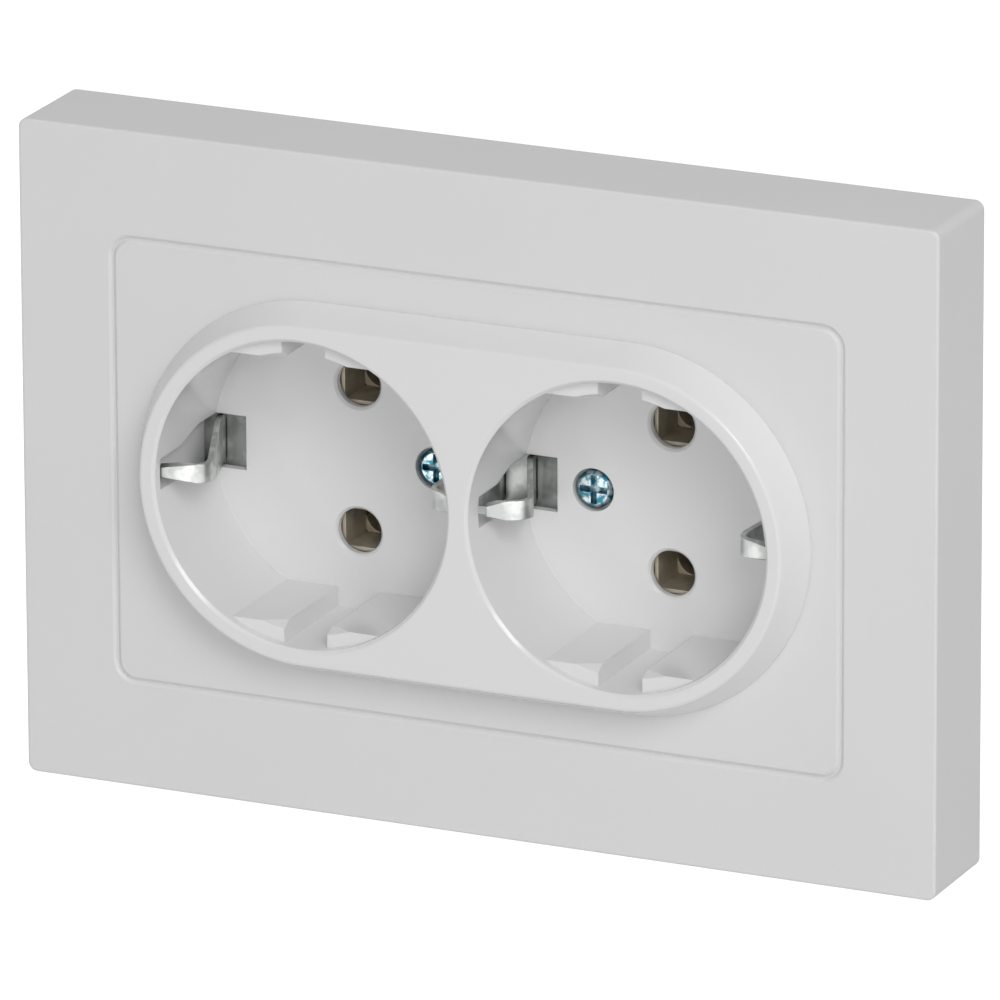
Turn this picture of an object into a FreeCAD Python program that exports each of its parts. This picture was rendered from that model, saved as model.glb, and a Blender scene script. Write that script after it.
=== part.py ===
import FreeCAD, Part
import math
import os
import re
import Sketcher

# Double earthed wall socket for one flush box, in millimetres.
# X runs right, Y runs into the wall and Z runs up. The wall plane is Y = 0.
# "Out" means the distance from the wall plane towards the room, so Y = -out.

os.makedirs("parts", exist_ok=True)

# Driving dimensions. Each one is written once, and everything else follows from them.
SIZES = {
    # Frame moulding
    "frame_depth": 14.2,
    "frame_side": 2.0,
    "frame_front": 2.2,
    "frame_corner": 1.2,
    "frame_edge": 0.35,
    "border_beside": 12.6,
    "border_above": 13.8,
    "collar_wall": 1.5,
    "collar_deep": 5.5,
    "frame_rib": 1.2,
    # Fine line pressed into the frame's face, around the raised rim
    "line_beside": 3.6,
    "line_above": 4.7,
    "line_corner": 2.6,
    "line_gap": 0.3,
    "line_deep": 0.45,
    "line_lip": 0.35,
    # Socket cover moulding
    "well_radius": 19.7,
    "well_web": 2.8,
    "well_lip": 0.4,
    "bezel_height": 5.0,
    "bezel_ring": 2.0,
    "bezel_edge": 0.5,
    "bezel_front": 2.0,
    "flare_out": 2.2,
    "flare_edge": 0.3,
    "seat_overlap": 0.8,
    "cup_wall": 1.6,
    "floor_thick": 1.2,
    "pin_pitch": 19.0,
    "pin_radius": 2.95,
    "pin_lead": 0.35,
    # Guide ledges in the wells
    "ledge_inset": 2.7,
    "ledge_slot": 5.8,
    "ledge_below": 1.5,
    "lead_in": 2.0,
    "lead_step": 1.0,
    # Windows and pockets for the earth clips. The shares are of a pocket's height above the floor.
    "window_inset": 4.4,
    "window_high": 7.0,
    "window_share": 0.33,
    "pocket_share": 0.62,
    "pocket_deep": 1.9,
    "pocket_wall": 0.9,
    "pocket_high": 4.0,
    "pocket_room": 0.6,
    # Cover screws and their nuts
    "screw_inset": 10.5,
    "screw_radius": 1.5,
    "screw_head": 2.45,
    "head_height": 1.5,
    "head_room": 0.3,
    "recess_blade": 0.8,
    "recess_wide": 1.5,
    "recess_deep": 0.6,
    "boss_wall": 0.75,
    "boss_deep": 0.95,
    "nut_across": 5.5,
    "nut_thick": 2.4,
    "nut_start": 2.6,
    "screw_reach": 8.0,
    # Earth bar and clips
    "bar_thick": 0.8,
    "bar_half": 4.0,
    "bar_middle": 7.0,
    "bar_beyond": 2.7,
    "bar_slant": 3.0,
    "clip_thick": 0.7,
    "clip_bend": 2.2,
    "clip_wide": 6.4,
    "clip_neck": 2.4,
    "clip_leg": 5.0,
    "clip_shoulder": 2.2,
    # Points of a clip, measured inwards from the well's wall and down from the face
    "root_inset": 1.1,
    "outer_nose_inset": 6.0,
    "outer_nose_below": 3.9,
    "outer_tip_inset": -0.3,
    "outer_tip_below": 2.3,
    "inner_nose_inset": 5.9,
    "inner_nose_below": 6.8,
    "inner_tip_inset": 0.8,
    "inner_tip_below": 4.0,
    # Mounting bridge
    "bridge_thick": 1.0,
    "bridge_wall": 1.1,
    "bridge_half": 18.5,
    "bridge_high": 36.0,
    "joggle_start": 21.6,
    "joggle_long": 1.8,
    "joggle_shift": 0.6,
    "notch_high": 17.0,
    "box_pitch": 60.0,
    "slot_radius": 1.8,
    "slot_long": 7.6,
    "tab_wide": 9.0,
    "tab_place": 3.5,
    "tab_long": 13.0,
    # Base in the wall box
    "base_beyond": 6.9,
    "base_deep": 21.0,
    "base_front": 2.0,
    "pad_gap": 0.1,
    "pad_inset": 0.5,
    "pad_beyond": 3.7,
    "pad_above": 3.7,
    "pad_corner": 1.0,
    "earth_half": 5.6,
    "earth_high": 4.5,
    # Contact bars: a square folded mouth in front of each round sleeve
    "mouth_outer": 5.9,
    "mouth_inner": 4.9,
    "mouth_front": 0.5,
    "mouth_back": 5.5,
    "sleeve_outer": 3.3,
    "sleeve_inner": 2.45,
    "sleeve_slit": 0.8,
    "sleeve_long": 8.7,
    "strip_thick": 0.8,
    "strip_start": 5.0,
    "strip_long": 10.0,
    # Wire clamps and their release buttons, their ends measured forward from the base's back
    "clamp_thick": 0.4,
    "clamp_wide": 10.0,
    "clamp_split": 1.0,
    "foot_ahead": 2.0,
    "bend_ahead": 14.4,
    "leaf_ahead": 7.4,
    "leaf_rise": 2.5,
    "earth_bend_ahead": 18.8,
    "earth_leaf_ahead": 11.6,
    "earth_leaf_rise": 2.3,
    "finger_ahead": 10.8,
    "earth_finger_ahead": 13.8,
    "wire_radius": 1.2,
    "wire_side": 2.6,
    "button_wide": 8.8,
    "button_high": 2.0,
    "button_out": 1.2,
    "button_flange": 0.7,
    "flange_long": 1.3,
    "button_play": 0.15,
    "button_under": 1.1,
    "earth_button": 0.3,
    # Rear cover
    "rear_thick": 2.0,
    "rear_inset": 1.5,
    "rear_screw": 20.6,
    "rear_head": 2.4,
    "rear_head_high": 1.4,
    "rear_slot": 0.7,
    "rear_slot_deep": 0.8,
    # Claws
    "claw_inset": 3.8,
    "claw_thick": 1.2,
    "claw_wide": 7.0,
    "claw_foot": 14.0,
    "claw_front": 8.4,
    "claw_clear": 0.6,
    "claw_prong": 1.0,
    "prong_deep": 2.0,
    "claw_room": 9.0,
    "claw_sink": 2.0,
    "claw_head": 2.5,
    "claw_head_high": 1.9,
    "claw_slot": 4.4,
    "claw_screw_end": 20.5,
    # Rivets
    "rivet_side": 9.0,
    "rivet_rise": 19.0,
    "rivet_radius": 1.45,
    "rivet_head": 2.4,
    "rivet_head_high": 0.6,
    "rivet_long": 8.6,
    "earth_pin": 1.0,
    "pin_side": 6.2,
    "pin_rise": 5.4,
    # Clearances
    "fit_gap": 0.05,
    "small_gap": 0.1,
    "free_gap": 0.4,
}

doc = FreeCAD.newDocument("double_socket")
sheet = doc.addObject("Spreadsheet::Sheet", "sizes")
for row, (alias, number) in enumerate(SIZES.items(), start=1):
    sheet.set(f"A{row}", alias)
    sheet.set(f"B{row}", str(number))
    sheet.setAlias(f"B{row}", alias)
doc.recompute()

# Places worked out from the driving dimensions
FACE = "(frame_depth + bezel_height)"
FLOOR = "(bar_thick + floor_thick)"
WELL_X = "(well_radius + well_web / 2)"
PIN_Z = "(pin_pitch / 2)"
BEZEL_R = "(well_radius + bezel_ring)"
FOOT_R = "(well_radius + bezel_ring + flare_out)"
OPENING_R = "(well_radius + bezel_ring + flare_out - seat_overlap)"
CUP_R = "(well_radius + cup_wall)"
POCKET_R = "(well_radius + pocket_deep)"
SCREW_X = "(well_radius + well_web / 2 - screw_inset)"
BOSS_R = "(screw_head + head_room + boss_wall)"
LINE_X = f"({WELL_X} + {FOOT_R} + line_beside)"
LINE_Z = f"({FOOT_R} + line_above)"
FRAME_X = f"({LINE_X} + border_beside)"
FRAME_Z = f"({LINE_Z} + border_above)"
LEDGE_Z = "(well_radius - ledge_inset)"
WINDOW_R = "(well_radius - window_inset)"
ROOT_R = "(well_radius - root_inset)"
BAR_X = f"({WELL_X} + well_radius + bar_beyond)"
WEB_X = f"({SCREW_X} + {BOSS_R} + bridge_wall)"
BASE_R = f"({WELL_X} + base_beyond)"
PAD_X = f"({WELL_X} + pad_beyond)"
CLAW_X = f"({BASE_R} - claw_inset)"
REAR_R = f"({BASE_R} - rear_inset)"
BASE_BACK = "(bridge_thick + base_deep)"
CHAMBER_FRONT = "(bridge_thick + base_front)"
REAR_BACK = "(bridge_thick + base_deep + rear_thick)"
CHAMBER_R = "(sleeve_outer + strip_thick / 2)"
CHAMBER_LOW = "(pin_pitch / 2 - sleeve_outer - strip_thick / 2)"
BUTTON_LOW = "(pin_pitch / 2 - sleeve_outer - strip_thick / 2 + button_under)"
STRIP_LOW = "(pin_pitch / 2 + sleeve_outer - strip_thick / 2)"
HEAD_SEAT = "(bar_thick + floor_thick - head_height - small_gap)"
BOX_Z = "(box_pitch / 2)"

NODES = []


def expression(text):
    """A formula for the sheet: every size name gets the sheet's own name in front."""
    return re.sub(r"\b[a-z]+(?:_[a-z]+)+\b", r"sizes.\g<0>", str(text))


def size(text):
    """The number that a formula of sizes gives now."""
    return float(sheet.evalExpression(expression(text)))


def bind(item, prop, text):
    item.setExpression(prop, expression(text))


def keep(item, label):
    """Marks an object as a finished sub-part."""
    item.Label = label
    NODES.append((label, item))
    return item


# Sketches

def new_body(name):
    return doc.addObject("PartDesign::Body", name + "_body")


def new_sketch(body, name, role, offset="0"):
    """A sketch on one of the body's own planes, moved along that plane's normal."""
    plane = [item for item in body.Origin.OriginFeatures if item.Role == role][0]
    sketch = body.newObject("Sketcher::SketchObject", name)
    sketch.AttachmentSupport = [(plane, "")]
    sketch.MapMode = "FlatFace"
    bind(sketch, ".AttachmentOffset.Base.z", offset)
    return sketch


def front_sketch(body, name, out="0"):
    """A sketch seen from the room, at a distance out from the wall."""
    return new_sketch(body, name, "XZ_Plane", out)


def side_sketch(body, name, x="0"):
    """A sketch seen from the side: across is Y and up is Z."""
    return new_sketch(body, name, "YZ_Plane", x)


def fix_point(sketch, item, place, x, y):
    for kind, text in (("DistanceX", x), ("DistanceY", y)):
        index = sketch.addConstraint(Sketcher.Constraint(kind, item, place, size(text)))
        bind(sketch, f"Constraints[{index}]", text)


def polygon(sketch, points):
    """Straight edges through points, each point held by two formulas."""
    corners = [FreeCAD.Vector(size(x), size(y), 0) for x, y in points]
    first = sketch.GeometryCount
    count = len(points)
    for i in range(count):
        sketch.addGeometry(Part.LineSegment(corners[i], corners[(i + 1) % count]), False)
    for i, (x, y) in enumerate(points):
        following = first + (i + 1) % count
        fix_point(sketch, first + i, 1, x, y)
        sketch.addConstraint(Sketcher.Constraint("Coincident", first + i, 2, following, 1))


def rectangle(sketch, x0, x1, y0, y1):
    polygon(sketch, [(x0, y0), (x1, y0), (x1, y1), (x0, y1)])


def circle(sketch, x, y, radius):
    centre = FreeCAD.Vector(size(x), size(y), 0)
    up = FreeCAD.Vector(0, 0, 1)
    item = sketch.addGeometry(Part.Circle(centre, up, size(radius)), False)
    fix_point(sketch, item, 3, x, y)
    index = sketch.addConstraint(Sketcher.Constraint("Radius", item, size(radius)))
    bind(sketch, f"Constraints[{index}]", radius)


def rounded_rectangle(sketch, width, height, radius, x="0", y="0"):
    """Four quarter arcs and four lines. Each arc's centre, radius and ends are held."""
    first = sketch.GeometryCount
    up = FreeCAD.Vector(0, 0, 1)
    half_w = f"({width}) / 2 - ({radius})"
    half_h = f"({height}) / 2 - ({radius})"
    signs = [(1, 1), (-1, 1), (-1, -1), (1, -1)]
    for quarter, (sx, sy) in enumerate(signs):
        cx, cy = f"{x} + {sx} * ({half_w})", f"{y} + {sy} * ({half_h})"
        whole = Part.Circle(FreeCAD.Vector(size(cx), size(cy), 0), up, size(radius))
        start = quarter * math.pi / 2
        item = sketch.addGeometry(Part.ArcOfCircle(whole, start, start + math.pi / 2), False)
        fix_point(sketch, item, 3, cx, cy)
        index = sketch.addConstraint(Sketcher.Constraint("Radius", item, size(radius)))
        bind(sketch, f"Constraints[{index}]", radius)
        for place in (1, 2):
            level = (quarter + place - 1) % 2 == 0
            kind, text = ("DistanceY", cy) if level else ("DistanceX", cx)
            index = sketch.addConstraint(Sketcher.Constraint(kind, item, place, size(text)))
            bind(sketch, f"Constraints[{index}]", text)
    for quarter in range(4):
        here, there = first + quarter, first + (quarter + 1) % 4
        a, b = sketch.getPoint(here, 2), sketch.getPoint(there, 1)
        line = sketch.addGeometry(Part.LineSegment(a, b), False)
        sketch.addConstraint(Sketcher.Constraint("Coincident", line, 1, here, 2))
        sketch.addConstraint(Sketcher.Constraint("Coincident", line, 2, there, 1))


def stadium(sketch, half, radius, x="0", y="0", upright=False):
    """Two half circles joined by straight lines, centred on x, y."""
    first = sketch.GeometryCount
    up = FreeCAD.Vector(0, 0, 1)
    for side, start in ((1, -math.pi / 2), (-1, math.pi / 2)):
        cx, cy = f"{x} + {side} * ({half})", y
        if upright:
            cx, cy, start = x, f"{y} + {side} * ({half})", start + math.pi / 2
        whole = Part.Circle(FreeCAD.Vector(size(cx), size(cy), 0), up, size(radius))
        item = sketch.addGeometry(Part.ArcOfCircle(whole, start, start + math.pi), False)
        fix_point(sketch, item, 3, cx, cy)
        kind, level = ("DistanceY", cy) if upright else ("DistanceX", cx)
        index = sketch.addConstraint(Sketcher.Constraint("Radius", item, size(radius)))
        bind(sketch, f"Constraints[{index}]", radius)
        for place in (1, 2):
            index = sketch.addConstraint(Sketcher.Constraint(kind, item, place, size(level)))
            bind(sketch, f"Constraints[{index}]", level)
    for here, there in ((first, first + 1), (first + 1, first)):
        a, b = sketch.getPoint(here, 2), sketch.getPoint(there, 1)
        line = sketch.addGeometry(Part.LineSegment(a, b), False)
        sketch.addConstraint(Sketcher.Constraint("Coincident", line, 1, here, 2))
        sketch.addConstraint(Sketcher.Constraint("Coincident", line, 2, there, 1))


# Features

def feature(body, kind, sketch, length=None, back=False):
    """A pad or pocket of a sketch. back turns its direction round."""
    item = body.newObject("PartDesign::" + kind, f"{sketch.Name}_{kind.lower()}")
    item.Profile = sketch
    item.Reversed = back
    if length is None:
        item.Type = 1
    else:
        bind(item, "Length", length)
    sketch.Visibility = False
    doc.recompute()
    return item


def pad(body, sketch, length, back=False):
    return feature(body, "Pad", sketch, length, back)


def pocket(body, sketch, length=None, back=False):
    """Cuts, and makes sure that the cut took something away."""
    before = body.Tip.Shape.Volume
    item = feature(body, "Pocket", sketch, length, back)
    if not item.Shape.Volume < before - 1e-6:
        raise ValueError(f"{item.Name} cuts nothing")
    return item


def turned(body, sketch, kind, axis="H_Axis"):
    """A revolution or groove of a sketch about one of its axes."""
    item = body.newObject("PartDesign::" + kind, f"{sketch.Name}_{kind.lower()}")
    item.Profile = sketch
    item.ReferenceAxis = (sketch, [axis])
    item.Angle = 360
    sketch.Visibility = False
    doc.recompute()
    return item


def edges_where(shape, test):
    """Names of the edges whose middle point passes a test."""
    names = []
    for number, edge in enumerate(shape.Edges, start=1):
        middle = edge.valueAt((edge.FirstParameter + edge.LastParameter) / 2)
        if test(edge, middle):
            names.append(f"Edge{number}")
    return names


def dress(body, kind, prop, amount, test):
    """A fillet or chamfer on every edge of the body's last feature that passes a test."""
    base = body.Tip
    names = edges_where(base.Shape, test)
    item = body.newObject("PartDesign::" + kind, f"{base.Name}_{kind.lower()}")
    item.Base = (base, names)
    bind(item, prop, amount)
    doc.recompute()
    return item


def in_plane(edge, out):
    """True where an edge lies flat at a distance out from the wall."""
    box = edge.BoundBox
    return abs(box.YMin + out) < 1e-3 and abs(box.YMax + out) < 1e-3


def off_stadium(point, half, radius):
    """Distance of a point from a stadium's outline, seen from the room."""
    along = max(abs(point.x) - half, 0.0)
    return abs(math.hypot(along, point.z) - radius)


# Primitives

def cylinder(name, x, z, radius, low, high):
    """A round bar standing out from the wall, from one distance out to another."""
    item = doc.addObject("Part::Cylinder", name)
    turn = FreeCAD.Rotation(FreeCAD.Vector(1, 0, 0), 90)
    item.Placement = FreeCAD.Placement(FreeCAD.Vector(0, 0, 0), turn)
    bind(item, "Radius", radius)
    bind(item, "Height", f"({high}) - ({low})")
    bind(item, "Placement.Base.x", x)
    bind(item, "Placement.Base.y", f"0 - ({low})")
    bind(item, "Placement.Base.z", z)
    return item


def block(name, x0, x1, low, high, z0, z1):
    """A square bar between two distances out from the wall."""
    item = doc.addObject("Part::Box", name)
    bind(item, "Length", f"({x1}) - ({x0})")
    bind(item, "Width", f"({high}) - ({low})")
    bind(item, "Height", f"({z1}) - ({z0})")
    bind(item, "Placement.Base.x", x0)
    bind(item, "Placement.Base.y", f"0 - ({high})")
    bind(item, "Placement.Base.z", z0)
    return item


def joined(name, items):
    item = doc.addObject("Part::MultiFuse", name)
    item.Shapes = items
    return item


def cut(name, base, tool):
    item = doc.addObject("Part::Cut", name)
    item.Base = base
    item.Tool = tool
    return item


def rounded_path(points, radius):
    """A wire through points with an arc of one radius at each inner point."""
    edges = []
    start = points[0]
    for before, corner, after in zip(points, points[1:], points[2:]):
        one = (before - corner).normalize()
        two = (after - corner).normalize()
        half = math.acos(max(-1.0, min(1.0, one.dot(two)))) / 2
        reach = radius / math.tan(half)
        first, last = corner + one * reach, corner + two * reach
        middle = (one + two).normalize()
        crown = corner + middle * (radius / math.sin(half) - radius)
        edges.append(Part.LineSegment(start, first).toShape())
        edges.append(Part.Arc(first, crown, last).toShape())
        start = last
    edges.append(Part.LineSegment(start, points[-1]).toShape())
    return Part.Wire(edges)


def bent_strip(points, thick, bend):
    """The section of a bent strip: a path and the same path moved sideways by thick."""
    wire = rounded_path(points, bend)
    return wire.makeOffset2D(thick, 0, True, True, False)


def plate_outline(points):
    wire = Part.makePolygon(points + points[:1])
    return Part.Face(wire)


def shaped(name, shape, place=(0, 0, 0)):
    """A finished sub-part whose shape was made from the sheet's sizes."""
    item = doc.addObject("Part::Feature", name + "_shape")
    item.Shape = shape
    item.Placement = FreeCAD.Placement(FreeCAD.Vector(*place), FreeCAD.Rotation())
    return keep(item, name)


def make_frame():
    """One thin moulding, open at the back, with a stiffened opening for the cover."""
    body = new_body("frame")
    outline = front_sketch(body, "frame_outline")
    rounded_rectangle(outline, f"2 * {FRAME_X}", f"2 * {FRAME_Z}", "frame_corner")
    pad(body, outline, "frame_depth")
    face = size("frame_depth")
    dress(body, "Fillet", "Radius", "frame_edge", lambda edge, p: in_plane(edge, face))

    hollow = front_sketch(body, "frame_hollow")
    rounded_rectangle(hollow, f"2 * ({FRAME_X} - frame_side)", f"2 * ({FRAME_Z} - frame_side)",
                      "frame_corner / 3")
    pocket(body, hollow, "frame_depth - frame_front", back=True)

    collar = front_sketch(body, "frame_collar", "frame_depth - frame_front - collar_deep")
    stadium(collar, WELL_X, f"{OPENING_R} + collar_wall")
    pad(body, collar, "collar_deep + frame_front / 2")

    ribs = front_sketch(body, "frame_ribs", "frame_depth - frame_front - collar_deep")
    near, far = f"{OPENING_R} + collar_wall / 2", f"{FRAME_Z} - frame_side / 2"
    for side in (-1, 1):
        x = f"{side} * {WELL_X}"
        for up in (-1, 1):
            low, high = sorted((f"{up} * ({near})", f"{up} * ({far})"), key=size)
            rectangle(ribs, f"{x} - frame_rib / 2", f"{x} + frame_rib / 2", low, high)
        ends = (f"{side} * ({WELL_X} + {near})", f"{side} * ({FRAME_X} - frame_side / 2)")
        left, right = sorted(ends, key=size)
        rectangle(ribs, left, right, "0 - frame_rib / 2", "frame_rib / 2")
    pad(body, ribs, "collar_deep + frame_front / 2")

    opening = front_sketch(body, "frame_opening", "frame_depth")
    stadium(opening, WELL_X, OPENING_R)
    pocket(body, opening)

    line = front_sketch(body, "frame_line", "frame_depth")
    for sign in ("+", "-"):
        rounded_rectangle(line, f"2 * {LINE_X} {sign} line_gap", f"2 * {LINE_Z} {sign} line_gap",
                          f"line_corner {sign} line_gap / 2")
    pocket(body, line, "line_deep")
    line_x, line_z, near_line = size(LINE_X), size(LINE_Z), size("line_corner / 2")
    dress(body, "Chamfer", "Size", "line_lip",
          lambda edge, p: in_plane(edge, face)
          and abs(max(abs(p.x) - line_x, abs(p.z) - line_z)) < near_line)
    return keep(body, "frame")


def make_cover():
    """The glossy moulding: raised rim, two round wells and everything inside them."""
    body = new_body("socket_cover")
    half, well = size(WELL_X), size("well_radius")
    face, foot = size(FACE), size("frame_depth")
    both = [(side, f"{side} * {WELL_X}") for side in (-1, 1)]

    # Raised rim: its sloping side turned round each well and drawn straight between them
    slope = [(f"0 - {FACE}", BEZEL_R), ("0 - frame_depth", FOOT_R)]
    for number, (side, x) in enumerate(both):
        turn = side_sketch(body, f"rim_turned_{number}", x)
        polygon(turn, [slope[0], (slope[0][0], "0"), (slope[1][0], "0"), slope[1]])
        turned(body, turn, "Revolution")
    between = side_sketch(body, "rim_between", f"0 - {WELL_X}")
    polygon(between, slope + [(x, f"0 - {z}") for x, z in reversed(slope)])
    pad(body, between, f"2 * {WELL_X}")
    bezel, flare = size(BEZEL_R), size(FOOT_R)
    dress(body, "Fillet", "Radius", "bezel_edge",
          lambda edge, p: in_plane(edge, face) and off_stadium(p, half, bezel) < 0.01)
    dress(body, "Chamfer", "Size", "flare_edge",
          lambda edge, p: in_plane(edge, foot) and off_stadium(p, half, flare) < 0.01)

    # Behind the rim the moulding is hollow, so that its walls stay even
    hollow = front_sketch(body, "rim_hollow", "frame_depth")
    stadium(hollow, WELL_X, f"{CUP_R} - cup_wall / 2")
    pocket(body, hollow, "bezel_height - bezel_front", back=True)

    # Two cups, the housings of the outer clips and the bosses under the screws
    for number, (side, x) in enumerate(both):
        cup = front_sketch(body, f"cup_{number}", "bar_thick")
        circle(cup, x, "0", CUP_R)
        pad(body, cup, f"{FACE} - bar_thick - bezel_front / 2")
    housings = front_sketch(body, "clip_housings", "bar_thick")
    high = "(window_high / 2 + pocket_wall)"
    for side, x in both:
        ends = (f"{x} + {side} * well_radius", f"{x} + {side} * ({POCKET_R} + pocket_wall)")
        left, right = sorted(ends, key=size)
        rectangle(housings, left, right, f"0 - {high}", high)
    pad(body, housings, "frame_depth - bar_thick + bezel_front / 2")
    bosses = front_sketch(body, "screw_bosses", "0 - boss_deep")
    for side, x in both:
        circle(bosses, f"{side} * {SCREW_X}", "0", BOSS_R)
    pad(body, bosses, "boss_deep + bar_thick")

    # The wells, and the ledges left standing above and below their centre slots
    wells = front_sketch(body, "wells", FACE)
    for side, x in both:
        circle(wells, x, "0", "well_radius")
    pocket(body, wells, f"{FACE} - {FLOOR}")
    ledges = front_sketch(body, "ledges", FLOOR)
    chord = f"(sqrt(well_radius ^ 2 - {LEDGE_Z} ^ 2) + cup_wall / 5)"
    for side, x in both:
        for right in (-1, 1):
            for up in (-1, 1):
                corners = [("ledge_slot / 2", LEDGE_Z), (chord, LEDGE_Z),
                           (chord, f"({LEDGE_Z} + cup_wall / 3)"),
                           ("ledge_slot / 2", "(well_radius + cup_wall / 2)")]
                polygon(ledges, [(f"{x} + {right} * {across}", f"{up} * {rise}")
                                 for across, rise in corners])
    pad(body, ledges, f"{FACE} - ledge_below - {FLOOR}")
    for number, (side, x) in enumerate(both):
        lead = side_sketch(body, f"ledge_lead_{number}", x)
        end, clear = f"(ledge_below - {FACE})", f"(ledge_below - {FACE} - free_gap)"
        inner, wide = f"({LEDGE_Z} - free_gap)", f"({LEDGE_Z} + lead_step)"
        polygon(lead, [(f"({end} + lead_in)", inner), (f"({end} + lead_in)", LEDGE_Z),
                       (end, wide), (clear, wide), (clear, inner)])
        turned(body, lead, "Groove")

    # Pin holes with a small lead, and the seats of the two screws
    pins = front_sketch(body, "pin_holes", FLOOR)
    for side, x in both:
        for up in (-1, 1):
            circle(pins, x, f"{up} * {PIN_Z}", "pin_radius")
    pocket(body, pins, f"{FLOOR} + boss_deep")
    floor, pin = size(FLOOR), size("pin_radius")
    dress(body, "Chamfer", "Size", "pin_lead",
          lambda edge, p: in_plane(edge, floor) and abs(edge.Length - 2 * math.pi * pin) < 0.01)
    heads = front_sketch(body, "screw_seats", FLOOR)
    shanks = front_sketch(body, "screw_holes", FLOOR)
    for side, x in both:
        circle(heads, f"{side} * {SCREW_X}", "0", "screw_head + head_room")
        circle(shanks, f"{side} * {SCREW_X}", "0", "screw_radius + 2 * small_gap")
    pocket(body, heads, f"{FLOOR} - {HEAD_SEAT}")
    pocket(body, shanks)

    # Windows in the floor that run up the walls as narrowing pockets for the clips
    def clip_space(sketch, tip_below):
        rise = f"({FACE} - {tip_below} + pocket_room - {FLOOR})"
        outline = [(f"{FLOOR} - bar_thick - floor_thick", "window_high / 2"),
                   (f"{FLOOR} + {rise} * window_share", "window_high / 2"),
                   (f"{FLOOR} + {rise} * pocket_share", "pocket_high / 2"),
                   (f"{FLOOR} + {rise}", "pocket_high / 2")]
        upper = [(f"0 - ({out})", z) for out, z in outline]
        polygon(sketch, upper + [(y, f"0 - {z}") for y, z in reversed(upper)])

    for number, (side, x) in enumerate(both):
        space = side_sketch(body, f"clip_pocket_{number}", f"{x} + {side} * {WINDOW_R}")
        clip_space(space, "outer_tip_below")
        pocket(body, space, f"{POCKET_R} - {WINDOW_R}", back=side > 0)
    middle = side_sketch(body, "clip_pocket_middle", f"{WINDOW_R} - {WELL_X}")
    clip_space(middle, "inner_tip_below")
    pocket(body, middle, f"2 * ({WELL_X} - {WINDOW_R})", back=True)
    dress(body, "Chamfer", "Size", "well_lip",
          lambda edge, p: in_plane(edge, face)
          and abs(math.hypot(abs(p.x) - half, p.z) - well) < 0.01)
    return keep(body, "socket_cover")


def recess(name, x, z, top, wide, deep):
    """Cutter for a screw head: two crossed blades, one running right across."""
    blades = []
    for number, (across, rise) in enumerate(((wide, "recess_blade"), ("recess_blade", wide))):
        blades.append(block(f"{name}_blade_{number}", f"{x} - {across} / 2", f"{x} + {across} / 2",
                            f"{top} - {deep}", f"{top} + 1", f"{z} - {rise} / 2", f"{z} + {rise} / 2"))
    return joined(f"{name}_blades", blades)


def screw(name, x, z, seat, head_radius, head_height, shank_radius, tip):
    """A pan-headed screw with a crossed slot. seat and tip are distances out from the wall."""
    top = f"({seat} + {head_height})"
    head = cylinder(f"{name}_head", x, z, head_radius, seat, top)
    bevelled = doc.addObject("Part::Chamfer", f"{name}_bevelled")
    bevelled.Base = head
    doc.recompute()
    rim = edges_where(head.Shape, lambda edge, p: in_plane(edge, size(top)))
    bow = size(head_height) / 3
    bevelled.Edges = [(int(rim[0][4:]), bow, bow)]
    head.Visibility = False
    shank = cylinder(f"{name}_shank", x, z, shank_radius, tip, f"{seat} + {head_height} / 4")
    solid = joined(f"{name}_blank", [bevelled, shank])
    cutter = recess(name, x, z, top, f"(recess_wide * {head_radius})",
                    f"({head_height} * recess_deep)")
    return cut(name, solid, cutter)


def make_cover_screws():
    for side, label in ((-1, "cover_screw_left"), (1, "cover_screw_right")):
        keep(screw(label, f"{side} * {SCREW_X}", "0", HEAD_SEAT, "screw_head", "head_height",
                   "screw_radius", "0 - screw_reach"), label)


def hexagon(name, x, radius, low, high):
    item = doc.addObject("Part::Prism", name)
    item.Polygon = 6
    turn = FreeCAD.Rotation(FreeCAD.Vector(1, 0, 0), 90)
    item.Placement = FreeCAD.Placement(FreeCAD.Vector(0, 0, 0), turn)
    bind(item, "Circumradius", radius)
    bind(item, "Height", f"({high}) - ({low})")
    bind(item, "Placement.Base.x", x)
    bind(item, "Placement.Base.y", f"0 - ({low})")
    return item


def make_cover_nuts():
    nuts, holes = [], []
    low, high = "0 - nut_start - nut_thick", "0 - nut_start"
    for side, word in ((-1, "left"), (1, "right")):
        x = f"{side} * {SCREW_X}"
        nuts.append(hexagon(f"cover_nut_{word}", x, "nut_across / sqrt(3)", low, high))
        holes.append(cylinder(f"cover_nut_hole_{word}", x, "0", "screw_radius + fit_gap", low, high))
    keep(cut("cover_nuts_cut", joined("cover_nuts_blank", nuts), joined("cover_nuts_holes", holes)),
         "cover_nuts")


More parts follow.
